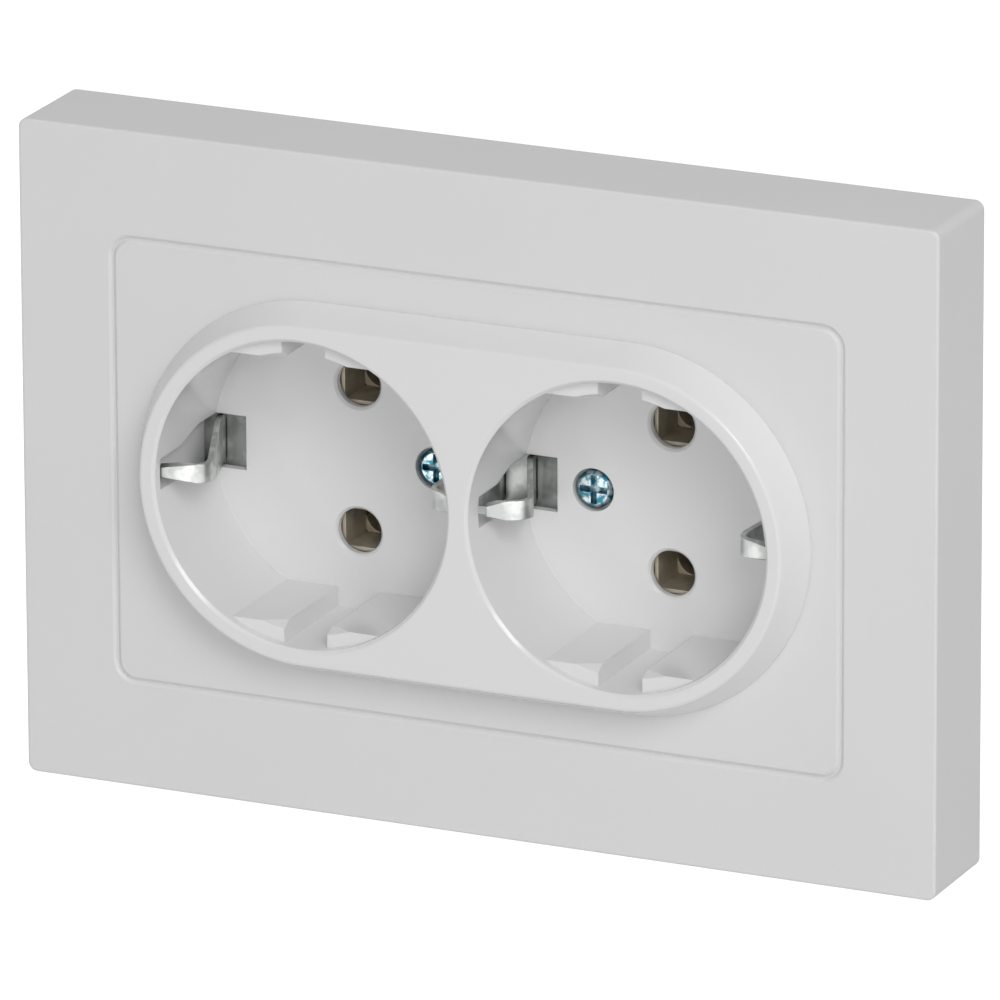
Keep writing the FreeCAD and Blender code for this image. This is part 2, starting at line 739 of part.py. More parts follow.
def make_bridge():
    """Stamped steel: flat in the box, stepped forward to lie on the wall above and below."""
    body = new_body("mounting_bridge")
    profile = side_sketch(body, "bridge_profile", "0 - bridge_half")
    stepped = "(joggle_start + joggle_long)"
    upper = [("0", "joggle_start"), ("0 - bridge_thick", stepped), ("0 - bridge_thick", "bridge_high"),
             ("0", "bridge_high"), ("0", f"({stepped} + joggle_shift)"),
             ("bridge_thick", "(joggle_start + joggle_shift)")]
    polygon(profile, upper + [(y, f"0 - {z}") for y, z in reversed(upper)])
    pad(body, profile, "2 * bridge_half")
    corner = size("bridge_high")
    lug = size("bridge_half")
    dress(body, "Fillet", "Radius", "bridge_half / 3",
          lambda edge, p: abs(abs(p.z) - corner) < 0.01 and abs(abs(p.x) - lug) < 0.01)
    notches = front_sketch(body, "bridge_notches", "2 * bridge_thick")
    for side in (-1, 1):
        left, right = sorted((f"{side} * {WEB_X}", f"{side} * (bridge_half + free_gap)"), key=size)
        rectangle(notches, left, right, "0 - notch_high", "notch_high")
    pocket(body, notches)
    holes = front_sketch(body, "bridge_holes", "2 * bridge_thick")
    for side in (-1, 1):
        circle(holes, f"{side} * {SCREW_X}", "0", f"{BOSS_R} + free_gap / 2")
        stadium(holes, "slot_long / 2 - slot_radius", "slot_radius", "0", f"{side} * {BOX_Z}",
                upright=True)
        for up in (-1, 1):
            circle(holes, f"{side} * rivet_side", f"{up} * rivet_rise", "rivet_radius + fit_gap")
            circle(holes, f"{side} * pin_side", f"{up} * pin_rise", "earth_pin + fit_gap")
    pocket(body, holes)
    window = front_sketch(body, "earth_window", "2 * bridge_thick")
    rectangle(window, "0 - tab_wide / 2 - free_gap", "tab_wide / 2 + free_gap",
              "0 - tab_place + bridge_thick / 2", "earth_high - free_gap")
    pocket(body, window)
    tab = front_sketch(body, "earth_tab")
    rectangle(tab, "0 - tab_wide / 2", "tab_wide / 2",
              "0 - tab_place - bridge_thick / 2", "0 - tab_place + bridge_thick / 2")
    pad(body, tab, "bridge_thick + tab_long", back=True)
    return keep(body, "mounting_bridge")


def make_earth_bar():
    """Flat strap behind the well floors, wider in the middle, with a slot under each clip."""
    body = new_body("earth_bar")
    outline = front_sketch(body, "bar_outline")
    upper = [(BAR_X, "bar_half"), (WEB_X, "bar_half"), (f"({WEB_X} - bar_slant)", "bar_middle")]
    upper += [(f"0 - {x}", z) for x, z in reversed(upper)]
    polygon(outline, upper + [(x, f"0 - {z}") for x, z in reversed(upper)])
    pad(body, outline, "bar_thick")
    holes = front_sketch(body, "bar_holes", "bar_thick")
    for side in (-1, 1):
        circle(holes, f"{side} * {SCREW_X}", "0", f"{BOSS_R} + free_gap / 2")
        circle(holes, f"{side} * {CLAW_X}", "0", "claw_head + free_gap / 2")
        for up in (-1, 1):
            circle(holes, f"{side} * pin_side", f"{up} * pin_rise", "earth_pin + fit_gap")
        for well in (-1, 1):
            middle = f"{side} * {WELL_X} + {well} * ({ROOT_R} + clip_thick / 2)"
            rectangle(holes, f"{middle} - clip_thick / 2 - small_gap",
                      f"{middle} + clip_thick / 2 + small_gap",
                      "0 - clip_leg / 2 - small_gap", "clip_leg / 2 + small_gap")
    pocket(body, holes)
    return keep(body, "earth_bar")


def clip_shape(kind):
    """One bent spring strip: a leg in the bar's slot, a leaning neck, a nose and a ramp."""
    floor, over = size(FLOOR), size("bar_thick + fit_gap")
    thick, root = size("clip_thick"), size(ROOT_R)
    nose_out, end_out = size(f"{FACE} - {kind}_nose_below"), size(f"{FACE} - {kind}_tip_below")
    path = [(root, size("fit_gap")), (root, floor),
            (size(f"well_radius - {kind}_nose_inset"), nose_out),
            (size(f"well_radius - {kind}_tip_inset"), end_out)]
    points = [FreeCAD.Vector(r, -out, 0) for r, out in path]
    section = bent_strip(points, -thick, size("clip_bend"))
    deep = size("clip_wide")
    strip = section.extrude(FreeCAD.Vector(0, 0, deep))
    strip.translate(FreeCAD.Vector(0, 0, -deep / 2))

    # Seen from the middle of the well: narrow leg, wide shoulders, tapered neck, rounded tip
    wide, neck, leg = deep / 2, size("clip_neck / 2"), size("clip_leg / 2")
    side = [(0.0, leg), (over, leg), (over, wide), (floor + size("clip_shoulder"), wide),
            (nose_out - neck, neck), (end_out - neck, neck), (end_out, neck / 2)]
    rim = [FreeCAD.Vector(0, -out, z) for out, z in side]
    rim += [FreeCAD.Vector(0, -out, -z) for out, z in reversed(side)]
    outline = plate_outline(rim).extrude(FreeCAD.Vector(size(POCKET_R), 0, 0))
    return strip.common(outline).removeSplitter()


def make_clips():
    shapes = {kind: clip_shape(kind) for kind in ("outer", "inner")}
    for well, word in ((-1, "left"), (1, "right")):
        for side, place in ((well, "outer"), (-well, "inner")):
            solid = shapes[place].copy()
            if side < 0:
                solid = solid.mirror(FreeCAD.Vector(0, 0, 0), FreeCAD.Vector(1, 0, 0))
            shaped(f"earth_clip_{word}_{place}", solid, (well * size(WELL_X), 0, 0))


def make_base():
    """Insulating body in the wall box: chambers open at the back, pin holes at the front."""
    body = new_body("base")
    drum = front_sketch(body, "base_drum", f"0 - {BASE_BACK}")
    circle(drum, "0", "0", BASE_R)
    pad(body, drum, "base_deep")
    pads = front_sketch(body, "base_pads", "0 - bridge_thick")
    near = f"({WEB_X} + pad_inset)"
    for side in (-1, 1):
        rounded_rectangle(pads, f"({PAD_X} - {near})", "pin_pitch + 2 * pad_above", "pad_corner",
                          f"{side} * ({PAD_X} + {near}) / 2")
    pad(body, pads, "bridge_thick + bar_thick - pad_gap")
    channel = front_sketch(body, "bar_channel", "bar_thick")
    rectangle(channel, f"0 - {BAR_X}", BAR_X,
              "0 - bar_half - free_gap", "bar_half + free_gap")
    pocket(body, channel, "bar_thick + small_gap")

    back = f"0 - {BASE_BACK}"
    deep = "base_deep - base_front"
    for number, up in enumerate((-1, 1)):
        sleeves = front_sketch(body, f"sleeve_chamber_{number}", back)
        stadium(sleeves, WELL_X, CHAMBER_R, "0", f"{up} * {PIN_Z}")
        pocket(body, sleeves, deep, back=True)
    earth = front_sketch(body, "earth_chamber", back)
    rectangle(earth, "0 - earth_half", "earth_half", "0 - earth_high", "earth_high")
    pocket(body, earth, "base_deep", back=True)

    front = "bar_thick"
    mouths = front_sketch(body, "mouth_openings", front)
    reach = "(mouth_outer / 2 + small_gap)"
    for side in (-1, 1):
        for up in (-1, 1):
            x, z = f"{side} * {WELL_X}", f"{up} * {PIN_Z}"
            rectangle(mouths, f"{x} - {reach}", f"{x} + {reach}", f"{z} - {reach}", f"{z} + {reach}")
    pocket(body, mouths, "bar_thick + mouth_back + small_gap")
    seats = front_sketch(body, "nut_seats", front)
    relief = front_sketch(body, "screw_relief", front)
    for side in (-1, 1):
        x = f"{side} * {SCREW_X}"
        reach = "(nut_across / sqrt(3) + 2 * small_gap)"
        corners = [(math.cos(math.pi / 3 * i), math.sin(math.pi / 3 * i)) for i in range(6)]
        polygon(seats, [(f"{x} + {c:.6f} * {reach}", f"{s:.6f} * {reach}") for c, s in corners])
        circle(relief, x, "0", "screw_radius + 2 * small_gap")
    pocket(body, seats, "bar_thick + nut_start + nut_thick")
    pocket(body, relief, "bar_thick + screw_reach + free_gap")
    rivets = front_sketch(body, "rivet_holes", front)
    for side in (-1, 1):
        for up in (-1, 1):
            circle(rivets, f"{side} * rivet_side", f"{up} * rivet_rise", "rivet_radius + fit_gap")
    pocket(body, rivets, "bar_thick + rivet_long + free_gap")
    closing = front_sketch(body, "rear_screw_holes", back)
    for up in (-1, 1):
        circle(closing, "0", f"{up} * rear_screw", "screw_radius - small_gap")
    pocket(body, closing, "base_deep / 2", back=True)

    # Room for the claws, and for their screws' heads in front
    room = front_sketch(body, "claw_room", back)
    heads = front_sketch(body, "claw_head_room", front)
    shanks = front_sketch(body, "claw_shank_room", front)
    for side in (-1, 1):
        ends = (f"{side} * ({CLAW_X} - nut_across / 2 - free_gap)", f"{side} * ({BASE_R} + free_gap)")
        left, right = sorted(ends, key=size)
        rectangle(room, left, right, "0 - claw_room / 2", "claw_room / 2")
        circle(heads, f"{side} * {CLAW_X}", "0", "claw_head + 2 * small_gap")
        circle(shanks, f"{side} * {CLAW_X}", "0", "screw_radius + fit_gap")
    pocket(body, room, "base_deep - base_front - bridge_thick", back=True)
    pocket(body, heads, "bar_thick + 2 * small_gap + claw_sink")
    pocket(body, shanks, "bar_thick + bridge_thick + base_front + claw_sink")
    return keep(body, "base")


def make_contact_bar(label, up):
    """A strip with a square mouth and a slit sleeve for one pin of each well."""
    low, high = "0 - mouth_back - sleeve_long", "0 - mouth_back"
    z = f"{up} * {PIN_Z}"
    tubes, bores = [], []
    for side, word in ((-1, "left"), (1, "right")):
        x = f"{side} * {WELL_X}"
        name = f"{label}_{word}"
        tubes.append(cylinder(f"{name}_sleeve", x, z, "sleeve_outer", low, high))
        bores.append(cylinder(f"{name}_bore", x, z, "sleeve_inner", f"{low} - 1", f"{high} + 1"))
        for group, wide, front, back in ((tubes, "mouth_outer / 2", "mouth_front", high),
                                         (bores, "mouth_inner / 2", "mouth_front + 1", high)):
            group.append(block(f"{name}_mouth_{len(group)}", f"{x} - {wide}", f"{x} + {wide}",
                               back, front, f"{z} - {wide}", f"{z} + {wide}"))
        ends = (f"{x} + {side} * (sleeve_outer + 1)", f"{x} + {side} * sleeve_inner / 2")
        left, right = sorted(ends, key=size)
        bores.append(block(f"{name}_slit", left, right, f"{low} - 1", high,
                           f"{z} - sleeve_slit / 2", f"{z} + sleeve_slit / 2"))
    ends = (f"{up} * {STRIP_LOW}", f"{up} * ({STRIP_LOW} + strip_thick)")
    bottom, top = sorted(ends, key=size)
    strip = block(f"{label}_strip", f"0 - {WELL_X}", WELL_X,
                  "0 - strip_start - strip_long", "0 - strip_start", bottom, top)
    keep(cut(label + "_cut", joined(label + "_blank", tubes + [strip]),
             joined(label + "_bores", bores)), label)


def leaf_spring(path, thick, wide):
    """A bent leaf whose path is given as y, z pairs, centred on x = 0."""
    points = [FreeCAD.Vector(y, z, 0) for y, z in path]
    section = bent_strip(points, thick, 2.2 * abs(thick))
    leaf = section.extrude(FreeCAD.Vector(0, 0, wide))
    leaf.translate(FreeCAD.Vector(0, 0, -wide / 2))
    turn = FreeCAD.Rotation(FreeCAD.Vector(1, 1, 1), 120)
    return leaf.transformGeometry(FreeCAD.Placement(FreeCAD.Vector(), turn).toMatrix())


def make_clamps():
    """Wire clamps: a foot, a hairpin bend and a leaf that leans on the wire."""
    thick, wide, split = size("clamp_thick"), size("clamp_wide"), size("clamp_split")
    gap = size("free_gap")
    foot, tip = size(CHAMBER_LOW), size(STRIP_LOW) - gap
    end = size(f"{BASE_BACK} - foot_ahead")
    bend, edge = size(f"{BASE_BACK} - bend_ahead"), size(f"{BASE_BACK} - leaf_ahead")
    path = [(end, foot), (bend, foot), (bend, foot + size("leaf_rise")), (edge, tip)]
    live = leaf_spring(path, thick, wide)
    rail = size("bridge_thick / 2 - tab_place") + gap
    top = size("earth_high")
    bend, edge = size(f"{BASE_BACK} - earth_bend_ahead"), size(f"{BASE_BACK} - earth_leaf_ahead")
    path = [(end, top), (bend, top), (bend, top - size("earth_leaf_rise")), (edge, rail)]
    earth = leaf_spring(path, -thick, size("clamp_wide - 2 * clamp_split"))
    gaps = ((live, foot + 1, tip + 1), (earth, rail - 1, top - 1))
    live, earth = [
        leaf.cut(Part.makeBox(split, 2 * end, high - low, FreeCAD.Vector(-split / 2, 0, low)))
        for leaf, low, high in gaps
    ]
    neutral = live.mirror(FreeCAD.Vector(0, 0, 0), FreeCAD.Vector(0, 0, 1))
    shaped("live_clamp", live)
    shaped("neutral_clamp", neutral)
    shaped("earth_clamp", earth)


def make_releases():
    """Push buttons: a flat finger with side flanges that stop behind the rear cover."""
    below = f"(0 - {BUTTON_LOW} - button_high)"
    for label, low, ahead in (("live_release", BUTTON_LOW, "finger_ahead"),
                              ("neutral_release", below, "finger_ahead"),
                              ("earth_release", "earth_button", "earth_finger_ahead")):
        high = f"{low} + button_high"
        finger = block(label + "_finger", "0 - button_wide / 2", "button_wide / 2",
                       f"0 - {REAR_BACK} - button_out", f"{ahead} - {BASE_BACK}", low, high)
        half = "(button_wide / 2 + button_flange)"
        seat = f"(small_gap - {BASE_BACK})"
        flange = block(label + "_flange", f"0 - {half}", half, seat, f"{seat} + flange_long",
                       low, high)
        keep(joined(label + "_joined", [finger, flange]), label)


def make_rear_cover():
    """Plate over the chambers, with wire holes and openings for the release buttons."""
    body = new_body("rear_cover")
    outline = front_sketch(body, "rear_outline", f"0 - {REAR_BACK}")
    circle(outline, "0", "0", REAR_R)
    pad(body, outline, "rear_thick")
    holes = front_sketch(body, "rear_holes", f"0 - {REAR_BACK}")
    half = "(button_wide / 2 + button_play)"
    for wire_z, low in ((f"{STRIP_LOW} - wire_radius - small_gap", BUTTON_LOW),
                        (f"0 - {STRIP_LOW} + wire_radius + small_gap",
                         f"(0 - {BUTTON_LOW} - button_high)"),
                        ("0 - tab_place + bridge_thick / 2 + wire_radius + small_gap",
                         "earth_button")):
        for side in (-1, 1):
            circle(holes, f"{side} * wire_side", wire_z, "wire_radius")
        rectangle(holes, f"0 - {half}", half, f"{low} - button_play", f"{low} + button_high + button_play")
    for up in (-1, 1):
        circle(holes, "0", f"{up} * rear_screw", "screw_radius")
    for side in (-1, 1):
        ends = (f"{side} * ({CLAW_X} - nut_across / 2 - free_gap)", f"{side} * ({REAR_R} + free_gap)")
        left, right = sorted(ends, key=size)
        rectangle(holes, left, right, "0 - claw_room / 2", "claw_room / 2")
    pocket(body, holes, back=True)
    return keep(body, "rear_cover")


def make_rear_screws():
    solids = []
    for number, up in enumerate((-1, 1)):
        z = f"{up} * rear_screw"
        top = f"(0 - {REAR_BACK} - rear_head_high)"
        head = cylinder(f"rear_screw_head_{number}", "0", z, "rear_head", top, f"0 - {REAR_BACK}")
        shank = cylinder(f"rear_screw_shank_{number}", "0", z, "screw_radius - 2 * small_gap",
                         f"{top} + rear_head_high / 2", f"base_deep / 2 - {BASE_BACK} - free_gap")
        slot = block(f"rear_screw_slot_{number}", "0 - rear_head", "rear_head",
                     f"{top} - free_gap", f"{top} + rear_slot_deep",
                     f"{z} - rear_slot / 2", f"{z} + rear_slot / 2")
        solids.append(cut(f"rear_screw_{number}", joined(f"rear_screw_blank_{number}", [head, shank]), slot))
    keep(joined("rear_screws_joined", solids), "rear_screws")


def make_rivets():
    solids, pins = [], []
    for number, (side, up) in enumerate(((-1, -1), (-1, 1), (1, -1), (1, 1))):
        x, z = f"{side} * rivet_side", f"{up} * rivet_rise"
        head = cylinder(f"bridge_rivet_head_{number}", x, z, "rivet_head", "0", "rivet_head_high")
        shank = cylinder(f"bridge_rivet_shank_{number}", x, z, "rivet_radius",
                         "0 - rivet_long", "rivet_head_high / 2")
        solids.append(joined(f"bridge_rivet_{number}", [head, shank]))
        pins.append(cylinder(f"earth_rivet_{number}", f"{side} * pin_side", f"{up} * pin_rise",
                             "earth_pin", "0 - bridge_thick", "bar_thick"))
    keep(joined("bridge_rivets_joined", solids), "bridge_rivets")
    keep(joined("earth_rivets_joined", pins), "earth_rivets")


def make_claws():
    """Bent steel claws with two teeth, their nuts and the screws that draw them forward."""
    thick, wide = size("claw_thick"), size("claw_wide")
    foot_back = size("claw_foot + claw_thick")
    outer, front, prong = size(f"{BASE_R} - claw_clear"), size("claw_front"), size("claw_prong")
    inner = size(f"{CLAW_X} - nut_across / 2")
    path = [(inner, foot_back), (outer, foot_back), (outer, front + 1.2 * prong),
            (outer + prong, front)]
    points = [FreeCAD.Vector(x, y, 0) for x, y in path]
    claw = bent_strip(points, thick, 1.5 * thick).extrude(FreeCAD.Vector(0, 0, wide))
    claw.translate(FreeCAD.Vector(0, 0, -wide / 2))
    reach, deep = 2 * (thick + prong), size("prong_deep")
    gap = Part.makeBox(2 * reach, deep + thick, wide / 3,
                       FreeCAD.Vector(outer - reach, front - thick, -wide / 6))
    slot_half = size("screw_radius + free_gap / 2")
    slot_end = size(f"{CLAW_X} + claw_slot / 2")
    hole = Part.makeBox(slot_end - inner + 1, thick + 2, 2 * slot_half,
                        FreeCAD.Vector(inner - 1, foot_back - thick - 1, -slot_half))
    claw = claw.cut(gap).cut(hole)
    mirror = claw.mirror(FreeCAD.Vector(0, 0, 0), FreeCAD.Vector(1, 0, 0))
    shaped("claw_right", claw)
    shaped("claw_left", mirror)
    near = "claw_foot + claw_thick + 2 * small_gap"
    for side, word in ((-1, "left"), (1, "right")):
        x = f"{side} * {CLAW_X}"
        low, high = f"0 - ({near} + nut_thick)", f"0 - ({near})"
        nut = block(f"claw_nut_{word}_square", f"{x} - nut_across / 2", f"{x} + nut_across / 2",
                    low, high, "0 - nut_across / 2", "nut_across / 2")
        hole = cylinder(f"claw_nut_{word}_hole", x, "0", "screw_radius + fit_gap", low, high)
        keep(cut(f"claw_nut_{word}_cut", nut, hole), f"claw_nut_{word}")
        keep(screw(f"claw_screw_{word}", x, "0", "0 - small_gap - claw_sink", "claw_head",
                   "claw_head_high", "screw_radius", "0 - claw_screw_end"), f"claw_screw_{word}")


def export():
    """Checks every object, then writes each sub-part to its own file."""
    doc.recompute()
    failed = [item.Name for item in doc.Objects
              if "Invalid" in item.State or "Error" in item.State]
    if failed:
        raise ValueError(f"failed objects: {failed}")
    for label, item in NODES:
        shape = item.Shape
        if shape.isNull() or not shape.isValid() or not shape.Solids:
            raise ValueError(f"{label} has no valid solid")
    for label, item in NODES:
        item.Shape.exportStep(f"parts/{label}.step")
        box = item.Shape.BoundBox
        print(f"{label:26s} solids {len(item.Shape.Solids)} volume {item.Shape.Volume:9.1f} "
              f"x {box.XMin:.1f}..{box.XMax:.1f} y {box.YMin:.1f}..{box.YMax:.1f} "
              f"z {box.ZMin:.1f}..{box.ZMax:.1f}")


make_frame()
make_cover()
make_cover_screws()
make_cover_nuts()
make_bridge()
make_earth_bar()
make_clips()
make_base()
make_contact_bar("live_bar", 1)
make_contact_bar("neutral_bar", -1)
make_clamps()
make_releases()
make_rear_cover()
make_rear_screws()
make_rivets()
make_claws()
export()
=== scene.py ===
# %% [markdown]
# # A double earthed wall socket
#
# This notebook dresses a wall socket that was first drawn as solids. Every solid
# is already in its place, in metres: X runs to the right, Y runs into the wall and
# Z runs up. We only add what the eye reads on the real thing: moulded plastic,
# plated metal, a camera and soft light.

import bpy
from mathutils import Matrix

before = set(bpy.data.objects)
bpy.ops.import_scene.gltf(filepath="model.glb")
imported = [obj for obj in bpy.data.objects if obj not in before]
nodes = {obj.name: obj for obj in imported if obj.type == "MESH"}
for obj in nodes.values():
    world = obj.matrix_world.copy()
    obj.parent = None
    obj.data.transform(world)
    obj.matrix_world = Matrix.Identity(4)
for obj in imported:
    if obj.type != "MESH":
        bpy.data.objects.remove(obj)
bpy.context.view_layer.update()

# %% [markdown]
# ## The camera
#
# The picture was taken with a long lens from the right and a little above, so the
# two wells look almost the same size. We could place a camera by eye. A better way
# is to measure corners and holes in the picture and solve for the one camera that
# sees them there. The numbers below are that camera: where it stands, in
# millimetres, the two angles it looks along, its small tilt, and its focal length
# counted in pixels of a picture that is 1000 pixels wide.

# %% What the fit gave
from math import cos, sin, radians
from mathutils import Matrix, Vector

stands_at = Vector((638.26, -1415.52, 497.26)) / 1000
azimuth, elevation, tilt = radians(24.366), radians(17.866), radians(-0.245)
focal_pixels = 13266.5
picture_width = 1000
print("camera stands", round(stands_at.length, 3), "m away")

# %% [markdown]
# A camera in Blender looks along its own -Z axis, with +Y up and +X to the right.
# So we work out those three directions from the angles and write them into one
# matrix. The lens is in millimetres for a sensor of a chosen width, and the pixels
# turn into millimetres by the share of the picture that they take.

# %% Place the camera
import bpy

look = -Vector((sin(azimuth) * cos(elevation), -cos(azimuth) * cos(elevation), sin(elevation)))
level = Vector((cos(azimuth), sin(azimuth), 0))
up = level.cross(look)
right = cos(tilt) * level + sin(tilt) * up
top = -sin(tilt) * level + cos(tilt) * up

lens = bpy.data.cameras.new("long_lens")
lens.sensor_width = 36
lens.lens = focal_pixels * lens.sensor_width / picture_width
lens.clip_start = 0.05
lens.clip_end = 50
camera = bpy.data.objects.new("camera", lens)
camera.matrix_world = Matrix.Translation(stands_at) @ Matrix((right, top, -look)).transposed().to_4x4()
scene = bpy.context.scene
scene.collection.objects.link(camera)
scene.camera = camera
print("lens", round(lens.lens, 1), "mm, looking along", [round(part, 3) for part in look])

# %% [markdown]
# ## A small helper for materials
#
# Blender draws a finish with a graph of nodes. We will need the same few nodes in
# every material, so this helper adds one node, sets its values by name and links
# its inputs. Writing `node(tree, "TexNoise", Scale=900)` is then enough.

# %% Node helper
def node(tree, kind, links=(), **values):
    made = tree.nodes.new("ShaderNode" + kind)
    for name, value in values.items():
        socket = made.inputs.get(name.replace("_", " "))
        if socket is not None:
            socket.default_value = value
        else:
            setattr(made, name, value)
    for name, source in dict(links).items():
        tree.links.new(source, made.inputs[name])
    return made


def start_material(name):
    material = bpy.data.materials.new(name)
    material.use_nodes = True
    tree = material.node_tree
    return material, tree, tree.nodes["Principled BSDF"]


print("node and start_material ready")

# %% [markdown]
# ## Soft edges without new geometry
#
# No moulded or stamped edge is truly sharp: each one catches a thin line of light.
# We could bevel every mesh, but the meshes belong to the solids and stay as they
# are. The Bevel node rounds only the shading near an edge. A Bump node then adds
# the fine relief of the surface on top of it.

# %% Relief helper
def relief(tree, shader, height, depth, edge):
    rounded = node(tree, "Bevel", samples=6, Radius=edge)
    bump = node(tree, "Bump", {"Height": height, "Normal": rounded.outputs["Normal"]},
                Strength=1.0, Distance=depth)
    tree.links.new(bump.outputs["Normal"], shader.inputs["Normal"])


print("relief ready")

# %% [markdown]
# ## From noise to a finish
#
# A noise texture gives a grey value between 0 and 1 for each point of a surface. A
# colour ramp turns it into a drift between two colours, and a Map Range node turns
# it into a roughness between two limits. Both read the place of the point on the
# object, so the pattern stays put when a piece moves.

# %% Noise helpers
def noise(tree, place, scale, detail):
    return node(tree, "TexNoise", {"Vector": place}, Scale=scale, Detail=detail).outputs["Fac"]


def blend_colours(tree, mask, low, high, between=(0.3, 0.7)):
    ramp = node(tree, "ValToRGB", {"Fac": mask})
    for element, colour, spot in zip(ramp.color_ramp.elements, (low, high), between):
        element.color = (*colour, 1)
        element.position = spot
    return ramp.outputs["Color"]


def spread(tree, mask, low, high):
    return node(tree, "MapRange", {"Value": mask}, To_Min=low, To_Max=high).outputs["Result"]


print("noise, blend_colours and spread ready")

# %% [markdown]
# ## Two white plastics
#
# The frame is satin: its tool was spark eroded, which leaves a fine even grain that
# scatters light. The socket cover came out of a polished tool, so it shines and
# shows faint waves where the plastic sank as it cooled. Both are built from one
# function, and only shade, grain, waves and roughness tell them apart. The base and
# the release buttons at the back are moulded too, so they come from it as well. A
# noise scale counts the spots along one metre.

# %% Moulded plastic
wave_scale = 38.0
plastic_ior = 1.49


def moulded_plastic(name, colour, shade, roughness, grain, grain_depth, wave_share, edge):
    material, tree, shader = start_material(name)
    place = node(tree, "TexCoord").outputs["Object"]
    fine = noise(tree, place, grain, detail=3.0)
    broad = noise(tree, place, wave_scale, detail=1.0)
    tree.links.new(blend_colours(tree, broad, shade, colour), shader.inputs["Base Color"])
    tree.links.new(spread(tree, fine, *roughness), shader.inputs["Roughness"])
    waves = node(tree, "Math", {0: broad}, operation="MULTIPLY")
    waves.inputs[1].default_value = wave_share
    height = node(tree, "Math", {0: fine, 1: waves.outputs[0]}, operation="ADD")
    relief(tree, shader, height.outputs[0], grain_depth, edge)
    shader.inputs["IOR"].default_value = plastic_ior
    return material


print("waves are about", round(1000 / wave_scale), "mm long")

# %% The four plastics
satin_white = moulded_plastic(
    "satin_white", colour=(0.80, 0.80, 0.80), shade=(0.785, 0.785, 0.785), roughness=(0.54, 0.64),
    grain=2600.0, grain_depth=0.000008, wave_share=0.0, edge=0.00025)
gloss_white = moulded_plastic(
    "gloss_white", colour=(0.835, 0.835, 0.835), shade=(0.825, 0.825, 0.825), roughness=(0.12, 0.18),
    grain=700.0, grain_depth=0.000004, wave_share=6.0, edge=0.0002)
base_grey = moulded_plastic(
    "base_grey", colour=(0.105, 0.107, 0.11), shade=(0.085, 0.087, 0.09), roughness=(0.4, 0.55),
    grain=1500.0, grain_depth=0.00002, wave_share=1.0, edge=0.0003)
button_white = moulded_plastic(
    "button_white", colour=(0.66, 0.67, 0.65), shade=(0.62, 0.63, 0.61), roughness=(0.3, 0.42),
    grain=1800.0, grain_depth=0.00001, wave_share=1.0, edge=0.00015)
print("plastics:", satin_white.name, gloss_white.name, base_grey.name, button_white.name)

# %% [markdown]
# ## Plated metal
#
# The clips are nickel plated spring strip, the screws have blue zinc, the bridge is
# plain zinc on rolled steel, and the contacts are dull brass. All of them are a
# metal whose colour drifts a little from place to place. Rolling and tumbling leave
# streaks and tiny dents, so roughness and height come from stretched noise. An
# Ambient Occlusion node darkens the colour in corners and recesses: painted shade.

# %% Plated metal
streak_scale = 500.0
# How far from a neighbouring surface the painted shade in corners reaches.
painted_shade_reach = 0.0026
dent_depth = 0.000003
stamped_edge = 0.00015


def plated_metal(name, low, high, painted_shade_colour, roughness, streak, patches):
    material, tree, shader = start_material(name)
    place = node(tree, "TexCoord").outputs["Object"]
    stretched = node(tree, "Mapping", {"Vector": place}, Scale=streak)
    rolled = noise(tree, stretched.outputs["Vector"], streak_scale, detail=2.0)
    cloud = noise(tree, place, patches, detail=2.0)
    plated = blend_colours(tree, cloud, low, high, between=(0.42, 0.58))
    # Painted shade: near corners and recesses the colour is mixed towards a dark shade colour.
    painted_shade_mask = node(tree, "AmbientOcclusion", samples=8, Distance=painted_shade_reach).outputs["AO"]
    with_painted_shade = node(tree, "MixRGB", {"Fac": painted_shade_mask, "Color2": plated}, Color1=(*painted_shade_colour, 1))
    tree.links.new(with_painted_shade.outputs["Color"], shader.inputs["Base Color"])
    tree.links.new(spread(tree, rolled, *roughness), shader.inputs["Roughness"])
    relief(tree, shader, rolled, dent_depth, stamped_edge)
    shader.inputs["Metallic"].default_value = 1.0
    return material


# The reach of the painted shade in corners.
print("corners are dull within", 1000 * painted_shade_reach, "mm of a neighbour")

# %% The four metals
# Each metal's corner colour is painted shade for its corners and recesses.
bright_nickel = plated_metal(
    "bright_nickel", low=(0.50, 0.52, 0.51), high=(0.74, 0.75, 0.73), painted_shade_colour=(0.05, 0.06, 0.05),
    roughness=(0.28, 0.42), streak=(1, 0.25, 3), patches=420.0)
blue_zinc = plated_metal(
    "blue_zinc", low=(0.05, 0.27, 0.37), high=(0.84, 0.93, 0.95), painted_shade_colour=(0.01, 0.08, 0.12),
    roughness=(0.18, 0.34), streak=(1, 1, 1), patches=1000.0)
rolled_steel = plated_metal(
    "rolled_steel", low=(0.55, 0.56, 0.57), high=(0.60, 0.61, 0.62), painted_shade_colour=(0.36, 0.36, 0.36),
    roughness=(0.28, 0.45), streak=(6, 1, 0.3), patches=200.0)
dull_brass = plated_metal(
    "dull_brass", low=(0.56, 0.52, 0.44), high=(0.68, 0.63, 0.53), painted_shade_colour=(0.50, 0.45, 0.36),
    roughness=(0.6, 0.75), streak=(1, 0.3, 1), patches=300.0)
print("metals:", bright_nickel.name, blue_zinc.name, rolled_steel.name, dull_brass.name)

# %% [markdown]
# ## Give every solid its finish
#
# A solid keeps one material for its whole surface, because a real part is moulded
# or plated in one go. A table from the finish to the names of its solids is easy to
# read and to check: nothing may be left out.

